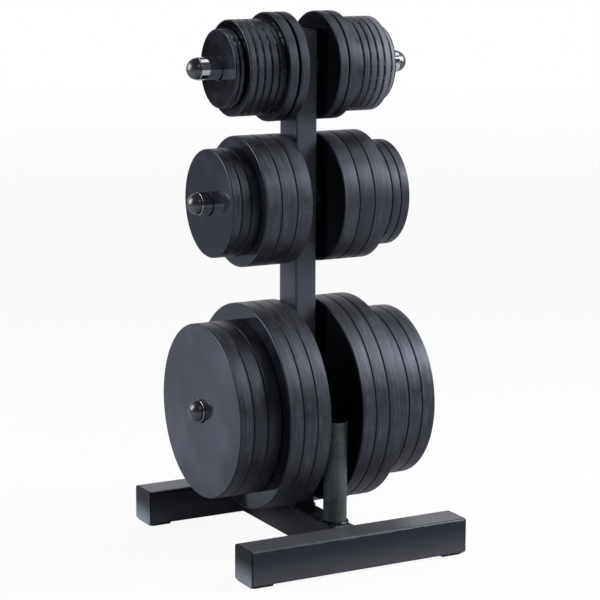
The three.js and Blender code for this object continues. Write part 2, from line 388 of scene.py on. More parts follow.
class Graph:
    """The node graph of one material or world, emptied and ready to build."""

    def __init__(self, owner: bpy.types.ID) -> None:
        """Starts an empty graph.

        Args:
            owner: The material or world that the graph belongs to.
        """
        owner.use_nodes = True
        self.tree = owner.node_tree
        self.tree.nodes.clear()

    def add(self, kind: str, settings: dict | None = None, sockets: dict | None = None,
            output: int | str = 0) -> Value:
        """Adds a node: its settings first, then the values or links of its sockets.

        Args:
            kind: Type of the node, without its prefix.
            settings: Names and values of its settings.
            sockets: Names or numbers of its input sockets, with a Value to link or a plain value to set.
            output: The output socket that is returned.

        Returns:
            The wanted output of the node.
        """
        node = self.tree.nodes.new("ShaderNode" + kind)
        for name, value in (settings or {}).items():
            setattr(node, name, value)
        for name, value in (sockets or {}).items():
            if isinstance(value, Value):
                self.tree.links.new(value.socket, node.inputs[name])
            else:
                node.inputs[name].default_value = value
        return Value(self, node.outputs[output] if node.outputs else None)

    def math(self, operation: str, first: Value | float, second: Value | float) -> Value:
        """A Math node of an operation on two values or numbers."""
        return self.add("Math", {"operation": operation}, {0: first, 1: second})

    def place(self) -> Value:
        """Object coordinates, which are metres in the model's frame."""
        return self.add("TexCoord", output="Object")

    def normal(self) -> Value:
        """The way that the surface looks."""
        return self.add("TexCoord", output="Normal")

    def attribute(self, name: str) -> Value:
        """A number kept at each vertex of the piece."""
        return self.add("Attribute", {"attribute_name": name}, output="Fac")

    def part(self, vector: Value, axis: str) -> Value:
        """The component of a vector along X, Y or Z."""
        return self.add("SeparateXYZ", None, {0: vector}, axis)

    def vector(self, operation: str, first: Value, second: Value | Vector | tuple,
               output: str = "Vector") -> Value:
        """A Vector Math node of an operation on two vectors."""
        return self.add("VectorMath", {"operation": operation}, {0: first, 1: second}, output)

    def across_x(self) -> Value:
        """1 on surfaces square to X, such as the faces of a plate, and 0 on surfaces that run along it."""
        along_x = self.vector("MULTIPLY", self.normal(), (1.0, 0.0, 0.0))
        return self.vector("DISTANCE", along_x, (0.0, 0.0, 0.0), "Value").between(low=0.35, high=0.85)

    def outward(self) -> Value:
        """1 on surfaces that look away from the middle along X and 0 on those that look towards it."""
        return (self.part(self.normal(), "X") * self.part(self.place(), "X")).between(low=0.0, high=0.001)

    def upward(self) -> Value:
        """1 on surfaces that face up and 0 on those that face sideways or down."""
        return self.part(self.normal(), "Z").between(low=0.4, high=0.95)

    def noise(self, vector: Value, w: Value, scale: float, detail: float = 2.0, rough: float = 0.5) -> Value:
        """Noise of about 0 to 1 in four dimensions; numbers added to the seed in w set two noises apart."""
        sockets = {"Vector": vector, "W": w, "Scale": scale, "Detail": detail, "Roughness": rough}
        return self.add("TexNoise", {"noise_dimensions": "4D"}, sockets, "Fac")

    def drawn(self, scales: tuple, w: Value, detail: float = 2.0, rough: float = 0.5) -> Value:
        """Noise of the place with a scale of its own along each of X, Y and Z."""
        return self.noise(self.vector("MULTIPLY", self.place(), scales), w, 1.0, detail, rough)

    def blend(self, factor: Value, low: Value | tuple, high: Value | tuple) -> Value:
        """The colour low where the factor is 0 and high where it is 1."""
        return self.add("Mix", {"data_type": "RGBA"}, {0: factor, 6: low, 7: high}, 2)

    def relief(self, height: Value) -> Value:
        """Normal of a surface whose height is given in millimetres."""
        return self.add("Bump", None, {"Height": height, "Strength": 1.0, "Distance": MM})

    def surface(self, sockets: dict) -> None:
        """Ends a material's graph in one principled shader with these sockets."""
        shader = self.add("BsdfPrincipled", None, sockets)
        self.add("OutputMaterial", None, {"Surface": shader})


@dataclass(frozen=True)
class Finish:
    """A finish: the name of its material and the name of a material slot."""

    name: str
    slot: str

    def wire(self, graph: Graph) -> None:
        """Builds the graph of the material."""
        raise NotImplementedError

    def material(self) -> bpy.types.Material:
        """Makes the material of this finish the first time it is asked for.

        Returns:
            The material.
        """
        made = bpy.data.materials.get(self.name)
        if made is None:
            made = bpy.data.materials.new(self.name)
            self.wire(Graph(made))
        return made


@dataclass(frozen=True)
class PowderCoat(Finish):
    """Baked powder on steel: fine orange peel, slow clouds in the gloss, thin bright rubs on the edges.

    Level surfaces carry a pale dusting that also paints the light falling on them from above. Near the floor
    the coat is paler as painted light bounced from the floor, and higher up it is paler as painted light. On
    the holder's lip the bright rubs on the edges are also a painted glint. A coat may be mottled, and closer
    to the axis than inside, as in a tube's bore, it is almost black as painted shade.
    """

    color: tuple = (0.017, 0.0185, 0.028, 1)
    # painted light: the paler colour that the coat takes higher up
    painted_light_high: tuple = (0.098, 0.099, 0.118, 1)
    # colour of bright edge scuffs; on the holder's lip it is also a painted glint
    rubbed_and_glint: tuple = (0.075, 0.078, 0.092, 1)
    roughness: float = 0.28
    peel: float = 0.014
    # pale dusting on upward faces, which also paints the light from above
    settled_and_top_light: float = 0.66
    # painted light bounced from the floor, paler towards the foot
    painted_floor_light: float = 0.85
    mottled: float = 0.0
    inside: float = -1.0
    # colour of the pale dusting and of the painted light near the floor and from above
    dust_and_light: tuple = (0.135, 0.137, 0.142, 1)
    mottle: tuple = (0.02, 0.025, 0.022, 1)
    unlit: tuple = (0.004, 0.004, 0.005, 1)
    sheen_tint: tuple = (0.84, 0.89, 1.0, 1)
    inside_blend: float = 1.2 * MM
    painted_floor_light_to: tuple = (-0.004, 0.070)
    painted_light_from: tuple = (0.12, 0.50)
    rubs: tuple = (0.46, 0.72)
    specks: tuple = (0.70, 0.78)
    mottles: tuple = (0.38, 0.70)

    def wire(self, graph: Graph) -> None:
        """Works out colour, gloss and peel from noise with waves of 200 mm, 20 mm, 1.3 mm and 0.5 mm.

        Args:
            graph: The material's graph.
        """
        place, seed, edge = graph.place(), graph.attribute("seed"), graph.attribute("edge")
        cloud = graph.noise(place, seed, scale=5.0, detail=3.0)
        patch = graph.noise(place, seed + 3.1, scale=46.0, detail=3.0)
        orange = graph.noise(place, seed, scale=760.0, detail=1.5)
        grit = graph.noise(place, seed + 5.7, scale=2100.0, detail=1.0)
        height = graph.part(place, "Z")
        # bright edge scuffs; on the holder's lip they are also a painted glint
        rub_and_glint = edge * patch.between(*self.rubs) * 0.7
        speck = grit.between(*self.specks) * patch * 0.5
        # painted light bounced from the floor: paler near the floor
        floor_light_mask = (1 - height.between(*self.painted_floor_light_to)) * self.painted_floor_light
        # pale dusting on upward faces that also paints light from above, joined with the painted floor light
        dust_and_light = floor_light_mask.larger(graph.upward() * self.settled_and_top_light) * (0.65 + patch * 0.4 + cloud * 0.3)
        # painted light: the coat is paler higher up
        coat = graph.blend(height.between(*self.painted_light_from), self.color, self.painted_light_high)
        coat = graph.blend(dust_and_light, graph.blend(rub_and_glint.larger(speck), coat, self.rubbed_and_glint), self.dust_and_light)
        coat = graph.blend(patch.between(*self.mottles) * self.mottled, coat, self.mottle)
        # painted shade: almost black inside a tube's bore
        outside = graph.attribute("radius").between(self.inside, self.inside + self.inside_blend)
        graph.surface({
            "Base Color": graph.blend(outside, self.unlit, coat),
            "Roughness": self.roughness + cloud.swing(0.14) + patch.swing(0.08) + rub_and_glint * 0.1 + dust_and_light * 0.1,
            "Specular Tint": self.sheen_tint,
            "Normal": graph.relief(orange * self.peel + grit * 0.003 + cloud * 0.25),
        })


@dataclass(frozen=True)
class PlateSkin(Finish):
    """Moulded black skin of a plate: drawn round the rim and the faces, scuffed on the edges, with flecks.

    A pale haze lies on the faces. It is kept off the hub as a painted dark reflection and shade of the peg
    and dome, and mostly off the faces that look towards the upright as painted shade between the stacks.
    The round edges are darkened as painted shade in the seams between plates. A plate's wear_and_lighting,
    partly real differences between plates and partly painted light and shade, sets how pale its rim is, and
    from 0.8 on it also joins the streaks to one tone.
    """

    face: tuple = (0.0022, 0.0026, 0.0034, 1)
    haze: tuple = (0.071, 0.069, 0.104, 1)
    rim: tuple = (0.003, 0.003, 0.004, 1)
    # paler rim and streak colours, reached through wear_and_lighting: partly real, partly painted light
    rim_pale: tuple = (0.050, 0.050, 0.058, 1)
    streak: tuple = (0.010, 0.010, 0.013, 1)
    streak_pale: tuple = (0.30, 0.30, 0.33, 1)
    scuffed: tuple = (0.080, 0.083, 0.098, 1)
    # painted shade in the seams between plates
    seam_shade: tuple = (0.002, 0.002, 0.003, 1)
    sheen_tint: tuple = (0.80, 0.85, 1.0, 1)
    roughness: float = 0.10
    rim_roughness: float = 0.32
    specular: float = 0.75
    # radii over which the painted shade near the hub fades out
    painted_hub_shade: tuple = (0.02, 0.13)
    joined_from: tuple = (0.8, 2.4)
    fine_range: tuple = (0.40, 0.80)
    broad_range: tuple = (0.45, 0.75)
    bloom_range: tuple = (0.40, 0.72)
    cloud_range: tuple = (0.45, 0.80)
    scuff_range: tuple = (0.60, 0.72)
    fleck_range: tuple = (0.735, 0.765)
    fleck_patch: tuple = (0.45, 0.60)

    def wire(self, graph: Graph) -> None:
        """Streaks are noise that changes fast across the plate and along its radius, and slowly round it.

        Args:
            graph: The material's graph.
        """
        place, seed, wear_and_lighting = graph.place(), graph.attribute("seed"), graph.attribute("wear_and_lighting")
        edge, radius, facing = graph.attribute("edge"), graph.attribute("radius"), graph.across_x()
        sideways, mostly_sideways = 1 - facing, 1 - facing * 0.85
        fine = graph.drawn((520.0, 5.0, 5.0), radius * 420.0 + seed, detail=3.0, rough=0.6)
        broad = graph.drawn((110.0, 14.0, 14.0), radius * 50.0 + seed, detail=3.0)
        cloud = graph.noise(place, seed, scale=6.0, detail=3.0)
        grain = graph.noise(place, seed + 2.3, scale=900.0)
        patch = graph.noise(place, seed + 4.9, scale=42.0, detail=4.0, rough=0.6)
        milky = graph.noise(place, seed + 6.2, scale=7.5)
        fleck = graph.noise(place, seed + 8.7, scale=330.0, detail=1.0).between(*self.fleck_range)
        fleck = fleck * patch.between(*self.fleck_patch)
        scuff = (edge * patch.between(*self.scuff_range)).larger(fleck * 0.9)
        streaks = fine.between(*self.fine_range) * 0.6 + broad.between(*self.broad_range) * 0.4
        streaks = streaks.larger(wear_and_lighting.between(*self.joined_from) * 0.9) * mostly_sideways
        bloom_and_shade = milky.between(*self.bloom_range) * 0.8 + cloud.between(*self.cloud_range) * 0.3
        # painted dark reflection and shade of the peg and dome near the hub, and painted shade on faces that
        # look towards the upright
        bloom_and_shade = bloom_and_shade * (radius.between(*self.painted_hub_shade) * 0.75 + 0.25) * (graph.outward() * 0.85 + 0.15)
        # paleness from wear_and_lighting: partly real differences between plates, partly painted light and
        # shade
        paleness = wear_and_lighting * (1 + patch.swing(2.6) + cloud.swing(1.6))
        rim = graph.blend(paleness, self.rim, self.rim_pale)
        plain = graph.blend(facing, rim, graph.blend(bloom_and_shade, self.face, self.haze))
        streaked = graph.blend(streaks, plain, graph.blend(paleness, self.streak, self.streak_pale))
        # painted shade: round edges darkened in the seams between plates
        seam_shaded = graph.blend(edge * 0.85, streaked, self.seam_shade)
        gloss = self.roughness + edge * 0.22 + (self.rim_roughness + fine.swing(0.20)) * sideways
        height = (fine * 0.035 + broad * 0.16 + patch * 0.16) * mostly_sideways
        graph.surface({
            "Base Color": graph.blend(scuff, seam_shaded, self.scuffed),
            "Roughness": gloss + (cloud.swing(0.24) + patch.swing(0.16)) * (1 - facing * 0.65),
            "Specular IOR Level": self.specular,
            "Specular Tint": self.sheen_tint,
            "Normal": graph.relief(height + grain * 0.005 + cloud * 1.4),
        })


@dataclass(frozen=True)
class Chrome(Finish):
    """Polished chrome with faint smears and the fine scratches that sliding plates leave along a peg.

    Beside the upright the peg's root is under the rack's black coat.
    """

    color: tuple = (0.60, 0.61, 0.63, 1)
    dulled: tuple = (0.42, 0.43, 0.45, 1)
    coat: tuple = (0.016, 0.017, 0.022, 1)
    coated_to: tuple = (0.0355, 0.0365)
    coat_wander: float = 0.0001
    coat_roughness: float = 0.40
    roughness: float = 0.045
    scratches: tuple = (0.60, 0.74)
    smears: tuple = (0.40, 0.80)
    pits: tuple = (0.72, 0.80)

    def wire(self, graph: Graph) -> None:
        """Scratches are noise that is slow along X and fast round the peg; smears are slow both ways.

        Args:
            graph: The material's graph.
        """
        place, seed = graph.place(), graph.attribute("seed")
        scratch = graph.drawn((14.0, 900.0, 900.0), seed).between(*self.scratches)
        smear = graph.noise(place, seed + 1.7, scale=38.0, detail=3.0)
        pit = graph.noise(place, seed + 6.1, scale=1500.0, detail=1.0).between(*self.pits)
        along = graph.part(place, "X")
        bare = along * along + smear * self.coat_wander
        bare = bare.between(*(reach ** 2 for reach in self.coated_to))
        metal = graph.blend(scratch * 0.35 + pit * 0.5, self.color, self.dulled)
        dull = smear.between(*self.smears) * 0.06 + scratch * 0.10 + pit * 0.1
        graph.surface({
            "Base Color": graph.blend(bare, self.coat, metal),
            "Metallic": bare,
            "Roughness": self.coat_roughness + bare * (dull - (self.coat_roughness - self.roughness)),
            "Normal": graph.relief(scratch * -0.004 + smear * 0.05),
        })


@dataclass(frozen=True)
class MouldedPlastic(Finish):
    """Injection-moulded plastic: a grain at its own scale, slow sink marks, and scuffs where it is handled.

    Surfaces square to X may have a colour of their own, side, and a pale painted light near the floor.
    """

    color: tuple = (0.030, 0.027, 0.034, 1)
    side: tuple | None = None
    scuffed: tuple = (0.08, 0.08, 0.09, 1)
    roughness: float = 0.28
    index: float = 2.0
    grain_scale: float = 1200.0
    grain_height: float = 0.002
    painted_floor_light: float = 0.0
    dust_and_light: tuple = (0.37, 0.41, 0.46, 1)
    scuffing: float = 0.4
    painted_floor_light_to: tuple = (0.0, 0.060)
    scratches: tuple = (0.62, 0.75)
    handled: tuple = (0.4, 0.7)

    def wire(self, graph: Graph) -> None:
        """Grain from fine noise, sink marks from slow noise, scuffs where noise and the edges meet.

        Args:
            graph: The material's graph.
        """
        place, seed, edge = graph.place(), graph.attribute("seed"), graph.attribute("edge")
        facing = graph.across_x()
        grain = graph.noise(place, seed, self.grain_scale)
        sink = graph.noise(place, seed + 2.9, scale=60.0)
        scratch = graph.drawn((150.0, 700.0, 900.0), seed).between(*self.scratches)
        scuff = (scratch * 0.5 + edge * sink.between(*self.handled) * 0.6) * self.scuffing
        # painted light near the floor on the end faces
        low = 1 - graph.part(place, "Z").between(*self.painted_floor_light_to)
        dust_and_light = low * (0.7 + sink * 0.6) * self.painted_floor_light * facing
        plain = graph.blend(facing, self.color, self.side) if self.side else self.color
        graph.surface({
            "Base Color": graph.blend(dust_and_light, graph.blend(scuff, plain, self.scuffed), self.dust_and_light),
            "Roughness": self.roughness + scuff * 0.3 + grain.swing(0.05),
            "IOR": self.index,
            "Normal": graph.relief(grain * self.grain_height + sink * 0.06),
        })


FRAME_COAT = PowderCoat("frame_powder_coat", "frame_coat")
# less pale dusting and floor light on the spine: painted shade under the plates
SPINE_COAT = PowderCoat("spine_powder_coat", "frame_coat", settled_and_top_light=0.22, painted_floor_light=0.3)
WELD_COAT = PowderCoat("weld_powder_coat", "frame_coat", roughness=0.24, peel=0.02)
# the holder's pale edge scuffs are partly a painted glint on its lip, and its near-black bore is painted
# shade
HOLDER_COAT = PowderCoat(
    "holder_powder_coat", "holder_coat", color=(0.112, 0.128, 0.118, 1), painted_light_high=(0.122, 0.138, 0.128, 1),
    rubbed_and_glint=(0.55, 0.57, 0.56, 1), roughness=0.5, settled_and_top_light=0.2, painted_floor_light=0.0, inside=22.8 * MM, mottled=0.5)
HOLDER_WELD = PowderCoat(
    "holder_weld_coat", "holder_coat", color=(0.010, 0.012, 0.012, 1), painted_light_high=(0.010, 0.012, 0.012, 1),
    rubbed_and_glint=(0.30, 0.31, 0.31, 1), roughness=0.12, settled_and_top_light=0.0, painted_floor_light=0.0)
CHROME = Chrome("peg_chrome_plate", "peg_chrome")
DOME_PLASTIC = MouldedPlastic("dome_gloss_plastic", "dome_plastic")
# the caps' end faces are paler near the floor: painted light
CAP_PLASTIC = MouldedPlastic(
    "cap_satin_plastic", "cap_plastic", color=(0.002, 0.003, 0.006, 1), side=(0.003, 0.004, 0.007, 1),
    scuffed=(0.02, 0.024, 0.032, 1), roughness=0.36, index=1.34, grain_scale=1400.0, grain_height=0.02,
    painted_floor_light=1.0)
PLATE_SKIN = PlateSkin("plate_moulded_skin", "plate_skin")


def linked(name: str, data: bpy.types.ID) -> bpy.types.Object:
    """Links a new object to the scene.

    Args:
        name: Its name.
        data: The mesh, camera or lamp that it shows.

    Returns:
        The object.
    """
    made = bpy.data.objects.new(name, data)
    bpy.context.scene.collection.objects.link(made)
    return made


def box(node: str) -> tuple:
    """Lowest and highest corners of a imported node, and its middle, as arrays."""
    low, high = (np.array(corner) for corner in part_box(node))
    return low, high, (low + high) / 2


class Builder:
    """Puts finished pieces into the scene and counts them."""

    def __init__(self) -> None:
        """Starts with no pieces."""
        self.count = 0

    def add(self, name: str, shell: Shell, finish: Finish, body: str = RACK, nodes: tuple = (),
            wear_and_lighting: float = 0.5) -> None:
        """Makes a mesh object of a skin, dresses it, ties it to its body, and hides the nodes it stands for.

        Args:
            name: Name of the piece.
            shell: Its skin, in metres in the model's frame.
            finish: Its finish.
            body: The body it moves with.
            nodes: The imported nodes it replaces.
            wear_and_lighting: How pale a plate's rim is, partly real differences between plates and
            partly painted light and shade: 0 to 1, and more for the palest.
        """
        mesh = bpy.data.meshes.new(name)
        faces = [face for part in shell.faces for face in part.tolist()]
        mesh.from_pydata(shell.vertices.tolist(), [], faces)
        seed, paleness = (np.full(len(shell.vertices), value) for value in (self.count * SEED_STEP, wear_and_lighting))
        for key, values in (("edge", shell.edge), ("radius", shell.radius), ("seed", seed), ("wear_and_lighting", paleness)):
            layer = mesh.attributes.new(key, "FLOAT", "POINT")
            layer.data.foreach_set("value", values.astype(np.float32))
        mesh.shade_smooth()
        mesh.materials.append(finish.material())
        piece = linked(name, mesh)
        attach(piece, body)
        if nodes:
            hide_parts(*nodes)
        self.count += 1
        log.info("%s: %d vertices on %s, %s", name, len(mesh.vertices), body, finish.name)


@dataclass
class Part:
    """A part of the tree, with the builder that takes its pieces."""

    builder: Builder


@dataclass
class RectangularTube(Part):
    """A straight steel tube of rectangular section with round corners and its cut ends broken."""

    node: str
    name: str
    along: Along
    corner: float
    finish: Finish = FRAME_COAT
    short_by: float = 0.0
    wall: float = 2.6 * MM
    edge: float = 0.6 * MM

    def build(self) -> None:
        """Carries the tube's profile round its section, from the low end of the node's box."""
        low, high, middle = box(self.node)
        axis, across, upward = self.along.value
        size = high - low
        origin = middle.copy()
        origin[axis] = low[axis]
        outline = Outline.rectangle(size[across], size[upward], self.corner)
        profile = Profile.tube(size[axis] - self.short_by, self.wall, self.edge)
        shell = skin(profile, outline, self.along, origin)
        self.builder.add(self.name, shell, self.finish, nodes=(self.node,))


@dataclass
class Bead(Part):
    """A weld bead: a round ridge carried round an outline, with a ripple for each step of the torch."""

    name: str
    outline: Outline
    along: Along
    origin: np.ndarray
    size: float = 3.4 * MM
    pitch: float = 3.4 * MM
    finish: Finish = WELD_COAT
    sides: int = 14
    spacing: float = 0.7 * MM
    level: float = 0.86
    ripple_height: float = 0.16
    ripple_bend: float = 0.45
    swell: float = 0.05
    wave_sizes: float = 10
    crest_wear: float = 0.6

    def shell(self) -> Shell:
        """P(a, t) = O + L(t) + q (N(t) cos a + A sin a), with the ridge q rising and falling along t.

        q = size (level + height |sin(pi (t + bend size cos 2a) / pitch)| + swell sin(tau t / wave)), where
        height and bend are the ripple's. Pitch and wave are fitted to go whole times into the outline.

        Returns:
            The skin.
        """
        axis, across, upward = self.along.frame()
        path = self.outline.evened(self.spacing)
        step = np.linalg.norm(path.points - np.roll(path.points, 1, axis=0), axis=1)
        t = np.cumsum(step)
        pitch = t[-1] / max(round(t[-1] / self.pitch), 1)
        wave = t[-1] / max(round(t[-1] / (self.wave_sizes * self.size)), 1)
        a = np.arange(self.sides)[:, None] * TAU / self.sides
        ripple = np.abs(np.sin(math.pi * (t[None] + self.ripple_bend * self.size * np.cos(2 * a)) / pitch))
        swell = self.swell * np.sin(TAU * t[None] / wave)
        q = self.size * (self.level + self.ripple_height * ripple + swell)
        centre = self.origin + path.points[:, :1] * across + path.points[:, 1:] * upward
        normal = path.normals[:, :1] * across + path.normals[:, 1:] * upward
        rows = centre[None] + (q * np.cos(a))[:, :, None] * normal[None]
        rows = rows + (q * np.sin(a))[:, :, None] * axis
        return lattice(rows, ripple ** 2 * self.crest_wear, np.broadcast_to(q, ripple.shape).copy())

    def build(self) -> None:
        """Adds the bead to the rack."""
        self.builder.add(self.name, self.shell(), self.finish)


@dataclass
class Upright(Part):
    """The upright: tube, plastic top cap, and the beads at its foot and round the roots of the pegs."""

    node: str = "upright"
    corner: float = 5.0 * MM
    cap_thickness: float = 3.0 * MM
    cap_edge: float = 1.3 * MM
    cap_depth: float = 3.4 * MM
    cap_gap: float = 0.15 * MM
    plug_narrower: float = 5.9 * MM
    plug_corner: float = 2.2 * MM
    plug_edge: float = 0.5 * MM
    plug_face: float = 1.4 * MM
    plug_depth: float = 14.0 * MM
    plug_overlap: float = 1.0 * MM
    foot_bead: float = 3.2 * MM
    root_bead: float = 2.8 * MM
    root_segments: int = 96

    def build(self) -> None:
        """Builds the tube, the cap and the beads."""
        low, high, middle = box(self.node)
        size = high - low
        RectangularTube(
            self.builder, self.node, "upright_tube", Along.Z, self.corner,
            short_by=self.cap_thickness + self.cap_gap).build()
        outline = Outline.rectangle(size[0], size[1], self.corner)
        origin = np.array([middle[0], middle[1], high[2] - self.cap_thickness])
        profile = Profile.slab(0.0, self.cap_thickness, self.cap_edge, self.cap_depth)
        cap = skin(profile, outline, Along.Z, origin, solid=True)
        inner = Outline.rectangle(*(size[:2] - self.plug_narrower), self.plug_corner)
        profile = Profile.slab(-self.plug_depth, self.plug_overlap, self.plug_edge, self.plug_face)
        cap += skin(profile, inner, Along.Z, origin, solid=True)
        self.builder.add("upright_top_cap", cap, CAP_PLASTIC)
        foot = np.array([middle[0], middle[1], low[2] - SEAT])
        Bead(self.builder, "upright_foot_bead", outline, Along.Z, foot, self.foot_bead).build()
        for tier in Tier:
            peg_low, peg_high, peg_middle = box(f"{tier.value}_peg_tube")
            ring = Outline.circle((peg_high[2] - peg_low[2]) / 2, self.root_segments)
            for side in Side:
                root = np.array([side.value * size[0] / 2, peg_middle[1], peg_middle[2]])
                name = f"{tier.value}_{side.word()}_root_bead"
                Bead(self.builder, name, ring, Along.X, root, self.root_bead).build()


@dataclass
class FootCap(Part):
    """End cap of a base tube: flange, hollow plug, ribs that grip the tube, and the foot pad below."""

    node: str
    way: int
    tube_side: float = 76.2 * MM
    tube_wall: float = 2.6 * MM
    corner: float = 6.0 * MM
    flange: float = 3.2 * MM
    flange_edge: float = 1.4 * MM
    flange_depth: float = 4.5 * MM
    plug_length: float = 20.0 * MM
    plug_depth: float = 18.0 * MM
    plug_wall: float = 2.5 * MM
    plug_edge: float = 0.5 * MM
    foot: float = 5.0 * MM
    pad_width: float = 60.0 * MM
    pad_length: float = 52.0 * MM
    pad_edge: float = 0.9 * MM
    pad_flat: float = 0.05 * MM
    pad_set_back: float = 0.5 * MM
    pad_radii: tuple = (1.9, 14.0, 1.6, 0.9, 0.6, 0.2, 1.9)
    toe: float = 9.0 * MM
    toe_rise: float = 0.55
    toe_slant: float = 1.0 * MM
    lap: float = 3.0 * MM
    lap_gap: float = 0.6 * MM
    rib_side: float = 1.2 * MM
    rib_edge: float = 0.3 * MM
    rib_grip: float = 0.4 * MM
    rib_places: tuple = (5.0, 9.5, 14.0)

    def build(self) -> None:
        """Builds the skins of the cap about the end of its tube."""
        low, high, middle = box(self.node)
        tube_end = (high[0] if self.way > 0 else low[0]) - self.way * (self.flange + SEAT)
        origin = np.array([tube_end, middle[1], self.foot + self.tube_side / 2])
        outline = Outline.rectangle(self.tube_side, self.tube_side, self.corner)
        profile = Profile.slab(SEAT, SEAT + self.flange, self.flange_edge, self.flange_depth)
        shell = skin(profile.turned(self.way), outline, Along.X, origin, solid=True)
        inner = self.tube_side - 2 * self.tube_wall - 2 * SEAT
        plug = Outline.rectangle(inner, inner, self.corner - self.tube_wall - SEAT)
        profile = Profile.tube(self.plug_length, self.plug_wall, self.plug_edge)
        shell += skin(profile.turned(self.way, -self.plug_depth), plug, Along.X, origin)
        shell += self.pad(np.array([tube_end, middle[1], 0.0]))
        grip = Outline.rectangle(inner + self.rib_grip, inner + self.rib_grip, self.corner - self.tube_wall)
        rib = Profile.tube(self.rib_side, self.rib_side, self.rib_edge, steps=2)
        for place in self.rib_places:
            shell += skin(rib.turned(self.way, -place * MM), grip, Along.X, origin)
        self.builder.add(self.node.replace("foot_cap", "end_cap"), shell, CAP_PLASTIC, nodes=(self.node,))

    def pad(self, origin: np.ndarray) -> Shell:
        """The foot pad: a side view with a rising toe, carried across the tube, its long edges round.

        Args:
            origin: The spot of the floor below the tube's end.

        Returns:
            The skin.
        """
        front = SEAT + self.flange - self.pad_set_back
        back = SEAT + self.lap_gap
        top = self.foot - SEAT
        corners = np.array([
            [-self.pad_length, 0], [-self.toe, 0], [front - self.toe_slant, self.toe_rise * top],
            [front, top + self.lap], [back, top + self.lap], [back, top], [-self.pad_length, top]])
        outline = Outline.polygon(corners * np.array([self.way, 1]), np.array(self.pad_radii) * MM)
        if self.way < 0:
            outline = Outline(outline.points, -outline.normals, outline.edge)
        half = self.pad_width / 2
        ends = Profile.slab(-half, half, self.pad_edge, self.pad_edge + self.pad_flat)
        ends = Profile(ends.points[1:-1], ends.weight[1:-1])
        return skin(ends, outline, Along.Y, origin, solid=True)


@dataclass
class Base(Part):
    """The H-shaped base: two cross tubes, the spine between them, its beads and the four end caps."""

    tube_corner: float = 6.0 * MM
    spine_corner: float = 5.0 * MM
    bead: float = 3.2 * MM
    bead_within: tuple = (3.6 * MM, 4.4 * MM)
    bead_sharper: float = 1.4 * MM

    def build(self) -> None:
        """Builds the tubes, the beads where the spine meets them, and the caps."""
        for end in ("front", "rear"):
            tube = f"{end}_base_tube", f"{end}_cross_tube", Along.X, self.tube_corner
            RectangularTube(self.builder, *tube).build()
            for side in Side:
                FootCap(self.builder, f"{end}_{side.word()}_foot_cap", side.value).build()
        tube = "base_spine", "spine_tube", Along.Y, self.spine_corner, SPINE_COAT
        RectangularTube(self.builder, *tube).build()
        low, high, middle = box("base_spine")
        width, height = (high - low)[[0, 2]] - self.bead_within
        outline = Outline.rectangle(width, height, self.spine_corner - self.bead_sharper)
        for end, y in (("front", low[1]), ("rear", high[1])):
            origin = np.array([middle[0], y, middle[2]])
            Bead(self.builder, f"spine_{end}_bead", outline, Along.Y, origin, self.bead).build()


@dataclass
class BarHolder(Part):
    """The open round tube that holds a bar, and the weld bead that joins it to the spine."""

    node: str = "bar_holder"
    wall: float = 2.6 * MM
    edge: float = 0.8 * MM
    segments: int = 128
    bead: float = 5.2 * MM
    bead_pitch: float = 6.0 * MM

    def build(self) -> None:
        """Builds the tube and its bead."""
        low, high, middle = box(self.node)
        outline = Outline.circle(max(high[0] - low[0], high[1] - low[1]) / 2, self.segments)
        origin = np.array([middle[0], middle[1], low[2]])
        shell = skin(Profile.tube(high[2] - low[2], self.wall, self.edge), outline, Along.Z, origin)
        self.builder.add("bar_holder_tube", shell, HOLDER_COAT, nodes=(self.node,))
        foot = origin - [0, 0, SEAT]
        Bead(self.builder, "bar_holder_bead", outline, Along.Z, foot, self.bead, self.bead_pitch,
             HOLDER_WELD).build()


